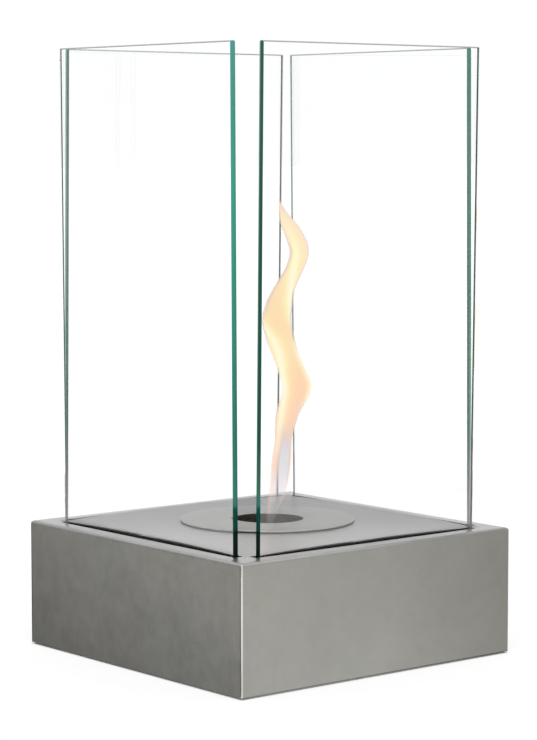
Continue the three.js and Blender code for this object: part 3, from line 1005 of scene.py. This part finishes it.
def station(height):
    """The flame's sideways place, half width and band turn at a height, between stations."""
    count = len(FLAME)
    above = next((index for index in range(1, count) if FLAME[index][0] >= height), count - 1)
    before, low, high, after = [
        Vector(FLAME[max(0, min(count - 1, above + step))]) for step in (-2, -1, 0, 1)]
    span = high[0] - low[0]
    share = (height - low[0]) / span
    leave = (high - before) / (high[0] - before[0]) * span
    arrive = (after - low) / (after[0] - low[0]) * span
    square, cube = share ** 2, share ** 3
    found = (
        low * (2 * cube - 3 * square + 1) + leave * (cube - 2 * square + share)
        + high * (3 * square - 2 * cube) + arrive * (cube - square))
    return found[1:]


print("flame from", FLAME_FOOT, "to", FLAME_TIP, "mm")


# %% Flame skins
def flame_skin(name, finish, width_share, depth_share, first, last, rows=118, around=40):
    """One closed skin of the flame. It keeps three numbers at each point for its finish: glow is 1
    on a bright band, rise runs from 0 at the foot to 1 at the tip, and side from left to right."""
    shape = bmesh.new()
    glow, rise, side = [shape.verts.layers.float.new(title) for title in ("glow", "rise", "side")]
    lines = []
    for row in range(rows + 1):
        share = row / rows
        height = first + (last - first) * share
        sideways, half, band = station(height)
        forward = TWIST_REACH * math.sin(2 * math.pi * (height - TWIST_START) / TWIST_PITCH)
        forward *= min(1.0, (height - FLAME_FOOT) / TWIST_EASE)
        taper = math.sqrt(min(1.0, share * END_TAPER, (1 - share) * END_TAPER))
        line = []
        for step in range(around):
            turn = 2 * math.pi * step / around
            across = sideways + half * width_share * taper * math.cos(turn)
            near = forward + half * depth_share * taper * math.sin(turn)
            place = to_right * across + to_front * near + Z * height
            point = shape.verts.new(place * MM)
            point[glow] = math.exp(-((math.sin(turn - math.radians(band)) / BAND_SPREAD) ** 2))
            point[rise] = (height - FLAME_FOOT) / (FLAME_TIP - FLAME_FOOT)
            point[side] = math.cos(turn)
            line.append(point)
        lines.append(line)
    join_rings(shape, lines)
    bmesh.ops.remove_doubles(shape, verts=lines[0] + lines[-1], dist=0.3 * MM)
    for edges in (lines[0], lines[-1]):
        kept = [point for point in edges if point.is_valid]
        loose = [edge for point in kept for edge in point.link_edges if edge.is_boundary]
        if loose:
            bmesh.ops.holes_fill(shape, edges=list(dict.fromkeys(loose)), sides=0)
    bmesh.ops.recalc_face_normals(shape, faces=shape.faces)
    piece = as_piece(name, shape, finish)
    piece.visible_shadow = False
    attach(piece, "burner")
    return piece


print("a skin keeps glow, rise and side")


# %% The flame's glow
def behind_pane(*colour):
    """The glow that looks like a screen colour through the pane in front. The pane mirrors the
    white studio and adds a tenth of white to all that is seen through it, so the gas glows less."""
    plain = screen_colour(*colour)[:3]
    return tuple(max(0.0, (value - PANE_SHEEN) / (1 - PANE_SHEEN)) for value in plain)


def flame_tones(finish, rise, *tones):
    """A ramp up the flame, from tones of (share of its height, screen colour)."""
    stops = [(height, behind_pane(*colour)) for height, colour in tones]
    return finish.node("ShaderNodeValToRGB", {"stops": stops}, {0: rise})


def flame_finish(name, solid, faint, edge_share):
    """Glowing gas. solid is how much it hides at its densest, faint how much at its clearest, and
    edge_share how far its dull edges show."""
    finish = Finish(name, {"Roughness": 1.0, "Specular IOR Level": 0.0})
    finish.material.cycles.emission_sampling = "NONE"
    glow, rise, side = [finish.stored(title) for title in ("glow", "rise", "side")]
    core = flame_tones(
        finish, rise, (0.00, (226, 204, 198)), (0.22, (238, 206, 192)), (0.30, (250, 208, 184)),
        (0.44, (254, 210, 178)), (0.56, (252, 222, 178)), (0.72, (252, 222, 180)),
        (0.82, (253, 230, 192)), (0.94, (252, 228, 200)), (1.00, (236, 210, 204)))
    flank = flame_tones(
        finish, rise, (0.00, (226, 204, 198)), (0.24, (250, 214, 190)), (0.32, (254, 226, 190)),
        (0.46, (254, 238, 186)), (0.80, (254, 240, 192)), (0.94, (254, 234, 198)),
        (1.00, (236, 210, 204)))
    bright = flame_tones(
        finish, rise, (0.00, (228, 206, 198)), (0.24, (252, 226, 204)), (0.34, (255, 247, 216)),
        (0.46, (253, 254, 234)), (0.62, (255, 248, 212)), (0.72, (255, 252, 226)),
        (0.84, (255, 250, 208)), (0.94, (254, 236, 200)), (1.00, (238, 212, 206)))
    under_split = 1.0 - rise.step_up(0.24, 0.345)
    middle = side.step_up(-0.5, -0.1) * (1.0 - side.step_up(0.72, 0.95))
    open_middle = under_split * middle
    bright_bend = rise.step_up(0.36, 0.42) * (1.0 - rise.step_up(0.54, 0.60))
    upper_bend = rise.step_up(0.62, 0.68) * (1.0 - rise.step_up(0.84, 0.90))
    cream = side.step_up(0.60, 0.95) * bright_bend
    flush = (side * -1.0).step_up(0.62, 0.95) * upper_bend
    edge = abs(side).step_up(0.80, 0.97) * rise.step_up(0.20, 0.34) * (1.0 - bright_bend * 0.9)
    colour = core
    for share, laid_over in (
            ((glow * 2.0).lower_of(1.0), flank),
            ((glow * 2.0 - 1.0).higher_of(0.0), bright),
            (open_middle, (*behind_pane(204, 199, 204), 1.0)),
            (cream * 0.85, (*behind_pane(255, 243, 204), 1.0)),
            (flush * 0.6, screen_colour(214, 188, 176)),
            (edge * edge_share, screen_colour(214, 182, 172))):
        colour = finish.blend(share, colour, laid_over)
    tip = rise.step_up(0.965, 1.0)
    low_strips = 1.0 - rise.step_up(0.14, 0.26)
    thin = open_middle.higher_of(tip * 0.6).higher_of(low_strips * 0.85)
    root = rise.step_up(0.03, 0.26) * 0.92 + 0.08
    finish.fill(finish.shader, {
        "Base Color": (0, 0, 0, 1), "Emission Color": colour, "Emission Strength": 1.0,
        "Alpha": (solid + (faint - solid) * thin) * root})
    return finish


veil_glow = flame_finish("flame_veil_glow", 0.45, 0.22, 1.0)
body_glow = flame_finish("flame_body_glow", 0.92, 0.32, 0.0)
skins = [
    flame_skin("flame_veil", veil_glow, 1.0, 0.50, 101.5, 398),
    flame_skin("flame_body", body_glow, 0.88, 0.40, 103, 394)]
print("flame skins:", [skin.name for skin in skins])

# %% [markdown]
# ## Floor and light
# The object stands on a pale floor in an all-white studio: an even white world and one large soft
# lamp from behind the camera. Satin steel mirrors what is round it, so grey flags stand beside
# the base, out of the picture, as a photographer would place them. Only satin surfaces see the
# flags: the clear glass would otherwise show them as hard-edged ghosts.


# %% Floor
def wall(name, centre, across, up, width, height, finish):
    """A flat rectangle with its middle at centre, spanned by two directions."""
    shape = bmesh.new()
    corners = [(-1, -1), (1, -1), (1, 1), (-1, 1)]
    shape.faces.new([
        shape.verts.new(centre + across * (width / 2 * right) + up * (height / 2 * high))
        for right, high in corners])
    piece = as_piece(name, shape, finish)
    return piece


SHADOWS_LIFTED = 0.65
FLOOR_GLOW = 1.05
FLOOR_SIDE = 60


def pale_floor():
    """A white floor. The camera sees its shadows at a third of their depth, as on a bright cut-out
    photo. Only the thin gap under the base keeps its full darkness."""
    finish = Finish("pale_floor", {
        "Base Color": (0.90, 0.90, 0.90, 1), "Roughness": 0.9, "Specular IOR Level": 0.0})
    glow = finish.node("ShaderNodeEmission", inputs={"Strength": FLOOR_GLOW})
    open_floor = finish.outwards().step_up(base_half - 0.5 * MM, base_half + 3 * MM)
    finish.show(finish.ray("Is Camera Ray") * open_floor * SHADOWS_LIFTED, glow)
    return finish


floor = wall("floor", Vector(), X, Y, FLOOR_SIDE, FLOOR_SIDE, pale_floor())

white = bpy.data.worlds.new("white_studio")
white.use_nodes = True
white.node_tree.nodes["Background"].inputs["Color"].default_value = (1, 1, 1, 1)
white.cycles.sampling_method = "NONE"
scene.world = white
print(floor.name, "and world are white")

# %% Lamp and flags
LAMP_STRENGTH = 0.9
LAMP_SOFTNESS = math.radians(40)
LAMP_WAY = Vector((0.55, 0.75, -1.1))
lamp = placed("soft_lamp", bpy.data.lights.new("soft_lamp", "SUN"), LAMP_WAY)
lamp.data.energy = LAMP_STRENGTH
lamp.data.angle = LAMP_SOFTNESS
lamp.visible_transmission = False

DARKEST_FLAG = 0.02


def flag_finish(name, grey, fade=None, most=1.0):
    """Paint that only satin surfaces see. Its grey holds at the object's foot, and fade says how
    much it gains per metre, up to most."""
    finish = Finish(name + "_paint")
    finish.material.cycles.emission_sampling = "NONE"
    level = grey
    if fade:
        level = (grey + finish.along(fade)).higher_of(DARKEST_FLAG).lower_of(most)
    light = finish.node("ShaderNodeEmission", inputs={"Strength": level})
    unseen = finish.node("ShaderNodeBsdfTransparent")
    finish.show(finish.ray("Is Singular Ray"), unseen, light)
    return finish


def flag(name, centre, across, up, width, height, grey, fade=None, most=1.0):
    board = wall(name, centre, across, up, width, height, flag_finish(name, grey, fade, most))
    board.visible_camera = board.visible_shadow = False
    board.visible_diffuse = board.visible_transmission = False
    return board


left_way, left_side = heading(-39)
front_way, front_side = heading(141)
flags = [
    flag("left_floor_card", left_way * 1.0 + Z * 0.001, left_way, left_side, 2.6, 2.6, 0.16,
         left_way * 0.35 - left_side * 1.2),
    flag("left_flag", left_way * 2.0 + Z * 1.2, left_side, Z, 2.6, 2.4, 0.35, Z * 0.25),
    flag("front_floor_card", front_way * 0.52 + Z * 0.002, front_way, front_side, 1.0, 1.8, 0.644,
         front_side * 2.2, 0.87),
    flag("front_flag", front_way * 1.0 + Z * 0.45, front_side, Z, 1.4, 0.9, 0.75),
    flag("right_end_flag", front_way * 0.55 - front_side * 0.30 + Z * 0.5, front_side, Z, 0.6,
         1.0, 0.56)]
print("flags:", [board.name for board in flags])
